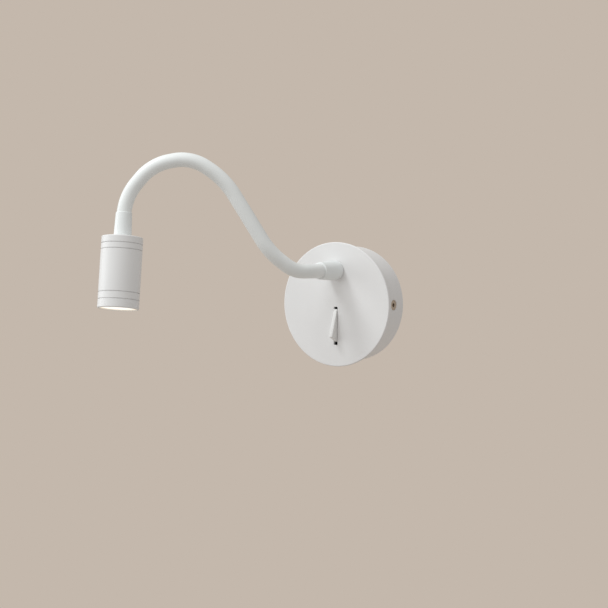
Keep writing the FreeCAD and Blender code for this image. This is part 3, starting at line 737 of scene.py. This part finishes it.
class Finish(Nodes):              # one material
    def __init__(self, name, **constants):
        self.material = bpy.data.materials.new(name)
        self.material.use_nodes = True
        Nodes.__init__(self, self.material.node_tree)
        self.shader = self.tree.nodes["Principled BSDF"]
        for key, value in constants.items():
            self.set(key.replace("_", " "), value)
        self.coordinates = self.add("ShaderNodeTexCoord", output="Object")

    def set(self, socketName, value):
        self.put(self.shader.inputs[socketName], value)

    def noise(self, scale, detail=2.0, stretch=None):        # scale counts per metre
        where = self.coordinates
        if stretch:
            where = self.add("ShaderNodeMapping", None, {"Vector": where, "Scale": stretch})
        return self.add("ShaderNodeTexNoise", None,
                        {"Vector": where, "Scale": scale, "Detail": detail})

    def band(self, value, low, high):                        # 0 below low, 1 above high
        return self.add("ShaderNodeMapRange", {"interpolation_type": "SMOOTHSTEP"},
                        {"Value": value, "From Min": low, "From Max": high})

    def blend(self, factor, first, second):
        return self.add("ShaderNodeMix", {"data_type": "RGBA"},
                        {0: factor, 6: first, 7: second}, 2)

    def tone(self, factor, colour, low, high=1.0):           # from low to high times the colour
        self.set("Base Color", self.blend(factor, shade(colour, low), shade(colour, high)))

    def bump(self, height, depth):                           # depth in metres
        self.set("Normal", self.add("ShaderNodeBump", None, {"Height": height, "Distance": depth},
                                    "Normal"))


def shade(colour, factor):
    return tuple(channel * factor for channel in colour[:3]) + (1.0,)


# the noises vary about a half, so that is taken off before they roughen a finish
kindSettings = {
    "paint": {
        "ior": 1.5,
        "grainDetail": 3.0,
        "cloud": 22,
        "cloudDetail": 3.0,
        "cloudBand": (0.3, 0.7),
        "darkest": 0.97,
        "grainRough": 0.08,
        "cloudRough": 0.05,
    },
    "rubber": {
        "ior": 1.42,
        "grain": 1300,
        "cloud": 40,
        "cloudDetail": 3.0,
        "cloudBand": (0.3, 0.75),
        "darkest": 0.955,
        "cloudRough": 0.10,
    },
    "moulding": {
        "ior": 1.46,
        "grain": 4200,
        "cloud": 70,
        "darkest": 0.97,
        "grainRough": 0.06,
    },
    "metal": {
        "spots": 420,
        "spotDetail": 4.0,
        "dullBand": (0.35, 0.7),
        "lines": 900,
        "stretch": (1, 1, 6),
        "darkest": 0.92,
        "brightest": 1.03,
        "lineRough": 0.14,
        "dullRough": 0.10,
    },
}


def paint(name, s):               # powder coat: fine orange peel and a little dust
    finish = Finish(name, IOR=s["ior"])
    peel = finish.noise(s["grain"], s["grainDetail"])
    cloud = finish.band(finish.noise(s["cloud"], s["cloudDetail"]), *s["cloudBand"])
    finish.tone(cloud, s["colour"], s["darkest"])
    finish.set("Roughness", s["rough"] + s["grainRough"] * (peel - 0.5)
               + s["cloudRough"] * (cloud - 0.5))
    finish.bump(peel, s["depth"])
    return finish


def rubber(name, s):
    finish = Finish(name, IOR=s["ior"])
    cloud = finish.band(finish.noise(s["cloud"], s["cloudDetail"]), *s["cloudBand"])
    finish.tone(cloud, s["colour"], s["darkest"])
    finish.set("Roughness", s["rough"] + s["cloudRough"] * (cloud - 0.5))
    finish.bump(finish.noise(s["grain"]), s["depth"])
    return finish


def moulding(name, s):
    finish = Finish(name, IOR=s["ior"])
    grain = finish.noise(s["grain"])
    finish.tone(finish.noise(s["cloud"]), s["colour"], s["darkest"])
    finish.set("Roughness", s["rough"] + s["grainRough"] * (grain - 0.5))
    finish.bump(grain, s["depth"])
    return finish


def metal(name, s):               # plated or turned metal with fine scratches and dull spots
    finish = Finish(name, Metallic=1.0)
    dull = finish.band(finish.noise(s["spots"], s["spotDetail"]), *s["dullBand"])
    lines = finish.noise(s["lines"], stretch=s["stretch"])
    finish.tone(dull, s["colour"], s["darkest"], s["brightest"])
    finish.set("Roughness", s["rough"] + s["lineRough"] * (lines - 0.5) + s["dullRough"] * dull)
    finish.bump(lines, s["depth"])
    return finish


finishKinds = {"paint": paint, "rubber": rubber, "moulding": moulding, "metal": metal}
# each finish's kind, colour, roughness, depth of its grain in metres, and what it changes
finishSettings = {
    "base_white": ("paint", (0.82, 0.818, 0.818), 0.50, 0.00003, {"grain": 1500}),
    "head_white": ("paint", (0.80, 0.80, 0.80), 0.40, 0.00002, {"grain": 1900}),
    "ferrule_white": ("paint", (0.83, 0.86, 0.86), 0.42, 0.000006, {"grain": 1900}),
    "sleeve_white": ("rubber", (0.86, 0.885, 0.88), 0.44, 0.000004),
    "rocker_white": ("moulding", (0.82, 0.82, 0.81), 0.38, 0.00001),
    "screw_steel": ("metal", (0.50, 0.455, 0.40), 0.30, 0.000004),
    "bracket_steel": ("metal", (0.62, 0.63, 0.64), 0.38, 0.000006),
    "core_steel": ("metal", (0.55, 0.55, 0.56), 0.42, 0.00001, {"spots": 900}),
    "nut_steel": ("metal", (0.66, 0.66, 0.67), 0.30, 0.000005),
    "contact_brass": ("metal", (0.80, 0.60, 0.28), 0.28, 0.000004),
    "led_aluminium": ("metal", (0.86, 0.86, 0.86), 0.42, 0.000005),
    "lead_black": ("rubber", (0.035, 0.035, 0.035), 0.55, 0.00002),
    "switch_black": ("moulding", (0.025, 0.025, 0.024), 0.42, 0.00001),
    "pad_grey": ("rubber", (0.22, 0.24, 0.26), 0.75, 0.00003),
    "inner_plastic": ("moulding", (0.68, 0.68, 0.65), 0.48, 0.00001),
    "driver_plastic": ("moulding", (0.78, 0.78, 0.76), 0.42, 0.00001),
    "board_green": ("moulding", (0.02, 0.13, 0.05), 0.40, 0.00001),
    "chip_yellow": ("moulding", (0.85, 0.66, 0.12), 0.45, 0.00001),
    "reflector_white": ("moulding", (0.88, 0.88, 0.86), 0.20, 0.000004),
}
glowSettings = {
    "glow": (1.0, 0.965, 0.915, 1),
    "rimGlow": (1.0, 0.84, 0.62, 1),
    "strength": 0.82,
    "colour": (0.60, 0.59, 0.55, 1),
    "rimColour": (0.50, 0.47, 0.41, 1),
    "rimBand": (0.010, 0.0155),   # from the lens's middle, in metres
    "ior": 1.49,
    "frost": 5200,
    "frostRough": 0.1,
    "rough": 0.55,
    "depth": 0.00001,
}


def makeFinish(name, kind, colour, rough, depth, changes=()):
    settings = dict(kindSettings[kind], colour=colour, rough=rough, depth=depth)
    settings.update(changes)
    return finishKinds[kind](name, settings)


def glowingLens(s, head):         # frosted acrylic, brightest at the middle
    finish = Finish("lens_glow", IOR=s["ior"], Emission_Strength=s["strength"])
    centre = (headTop + headAim * head["length"]) * toMetres
    away = finish.add("ShaderNodeVectorMath", {"operation": "DISTANCE"},
                      {0: finish.coordinates, 1: centre}, "Value")
    rim = finish.band(away, *s["rimBand"])
    frost = finish.noise(s["frost"])
    finish.set("Base Color", finish.blend(rim, s["colour"], s["rimColour"]))
    finish.set("Emission Color", finish.blend(rim, s["glow"], s["rimGlow"]))
    finish.set("Roughness", s["rough"] + s["frostRough"] * (frost - 0.5))
    finish.bump(frost, s["depth"])
    return finish


finishes = {name: makeFinish(name, *values) for name, values in finishSettings.items()}
finishes["lens_glow"] = glowingLens(glowSettings, headSettings)
slotOf = {part["node"]: part["material_slot"] for part in frame["record"]["subparts"]}


def dress(piece, slotName):
    material = finishes[slotName].material
    if not piece.data.materials:
        piece.data.materials.append(material)
    for i in range(len(piece.data.materials)):
        piece.data.materials[i] = material


for node, piece in frame["nodes"].items():
    dress(piece, "switch_black" if node == "switch_body" else slotOf[node])
for piece in [baseShell, rockerPaddle, frontLens] + sideScrews + armSleeves + headPieces:
    dress(piece, piece["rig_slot"])
for piece in ferrules:
    dress(piece, "ferrule_white")
print("finishes done:", len(finishes))

studioSettings = {
    "backdrop": (0.552, 0.479, 0.413, 1),
    "ambient": (1.0, 0.97, 0.94, 1),
    "ambientStrength": 0.48,
    "lampColour": (0.95, 0.985, 1.0),
    "keyPlace": (-0.95, -1.25, 2.05),
    "keyPower": 25,
    "keySize": 0.8,
    "sidePlace": (-2.3, -1.1, 0.5),
    "sidePower": 19,
    "sideSize": 1.8,
    "topPlace": (-0.04, -0.62, 0.75),
    "topPower": 2.2,
    "topSize": 0.6,
    "floorHeight": -0.5,
    "floorSize": 1.5,
    "floorFade": 0.2,             # from its middle, where it starts to melt into the backdrop
    "floorCloud": 6,
    "floorCloudDetail": 3.0,
    "floorTones": (0.97, 1.03),
    "floorGrain": 90,
    "floorRough": 0.8,
    "floorGrainRough": 0.1,
    "aim": (-0.03, -0.06, 0.02),
}


def addWorld(s):                  # lit by the ambient colour, seen as the backdrop
    world = bpy.data.worlds.new("studio")
    scene.world = world
    world.use_nodes = True
    sky = Nodes(world.node_tree)
    background = sky.tree.nodes["Background"]
    sky.put(background.inputs["Color"], s["backdrop"])
    ambient = sky.add("ShaderNodeBackground", None,
                      {"Color": s["ambient"], "Strength": s["ambientStrength"]})
    seen = sky.add("ShaderNodeLightPath", output="Is Camera Ray")
    for ray in ("Is Glossy Ray", "Is Transmission Ray"):
        seen = seen.math("MAXIMUM", seen, sky.add("ShaderNodeLightPath", output=ray))
    sky.surface("World Output", sky.add("ShaderNodeMixShader", None, {
        0: seen, 1: ambient, 2: Wire(sky, background.outputs[0])}))


def addLights(s):
    for name in ("key", "side", "top"):
        place = Vector(s[name + "Place"])
        bpy.ops.object.light_add(type="AREA", location=place)
        light = bpy.context.object
        light.name = name + "Light"
        light.rotation_euler = (Vector(s["aim"]) - place).to_track_quat("-Z", "Y").to_euler()
        light.data.energy = s[name + "Power"]
        light.data.color = s["lampColour"]
        light.data.size = s[name + "Size"]


def addFloor(s):
    clearSelection()
    bpy.ops.mesh.primitive_plane_add(size=s["floorSize"], location=(0, 0, s["floorHeight"]))
    floor = bpy.context.object
    floor.name = "studioFloor"
    finish = Finish("floorFinish")
    cloud = finish.noise(s["floorCloud"], s["floorCloudDetail"])
    finish.tone(cloud, s["backdrop"], *s["floorTones"])
    finish.set("Roughness", s["floorRough"]
               + s["floorGrainRough"] * (finish.noise(s["floorGrain"]) - 0.5))
    away = finish.add("ShaderNodeVectorMath", {"operation": "LENGTH"},
                      {0: finish.coordinates}, "Value")
    finish.surface("Material Output", finish.add("ShaderNodeMixShader", None, {
        0: finish.band(away, s["floorFade"], s["floorSize"] / 2),
        1: Wire(finish, finish.shader.outputs[0]), 2: finish.add("ShaderNodeBsdfTransparent")}))
    floor.data.materials.append(finish.material)


addWorld(studioSettings)
addLights(studioSettings)
addFloor(studioSettings)
scene.view_settings.view_transform = "Standard"
print("studio lit")
